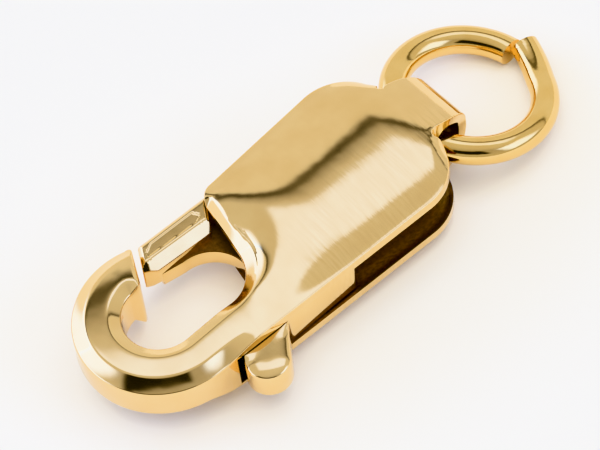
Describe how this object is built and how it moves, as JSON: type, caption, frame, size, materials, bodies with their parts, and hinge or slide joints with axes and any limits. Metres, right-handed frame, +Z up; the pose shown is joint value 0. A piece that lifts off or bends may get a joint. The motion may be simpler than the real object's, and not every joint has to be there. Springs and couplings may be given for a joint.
{
  "type": "lobster clasp",
  "caption": "Small domed lobster clasp: a hollow two-plate body with a solid hook, a sprung swinging gate with a thumb knob, and a jump ring in the strap loop at its tail.",
  "frame": {"origin": "centre of the flat spot under the lower dome, on the surface that the clasp lies on", "axes": "+X points along the clasp to the hook, +Y to the side of the thumb knob, +Z up"},
  "size_m": [0.0161, 0.0061, 0.0028],
  "materials": {
    "clasp_gold": "polished yellow gold over brass, with fine polishing scratches",
    "ring_gold": "drawn round wire, polished, with sheared ends"
  },
  "bodies": {
    "shell": {"clasp_body": "clasp_gold", "pivot_pin": "clasp_gold"},
    "lever": {"lever": "clasp_gold"},
    "ring": {"jump_ring": "ring_gold"}
  },
  "joints": [
    {"name": "lever_pivot", "type": "hinge", "parent": "shell", "child": "lever", "pos_m": [0.00193, -0.00085, 0.0014], "axis": [0, 0, 1], "range_deg": [0, 25], "stiffness_Nm_per_rad": 0.01},
    {"name": "ring_swing", "type": "hinge", "parent": "shell", "child": "ring", "pos_m": [-0.00317, 0, 0.0014], "axis": [0, 1, 0], "range_deg": [-56, 84]}
  ]
}
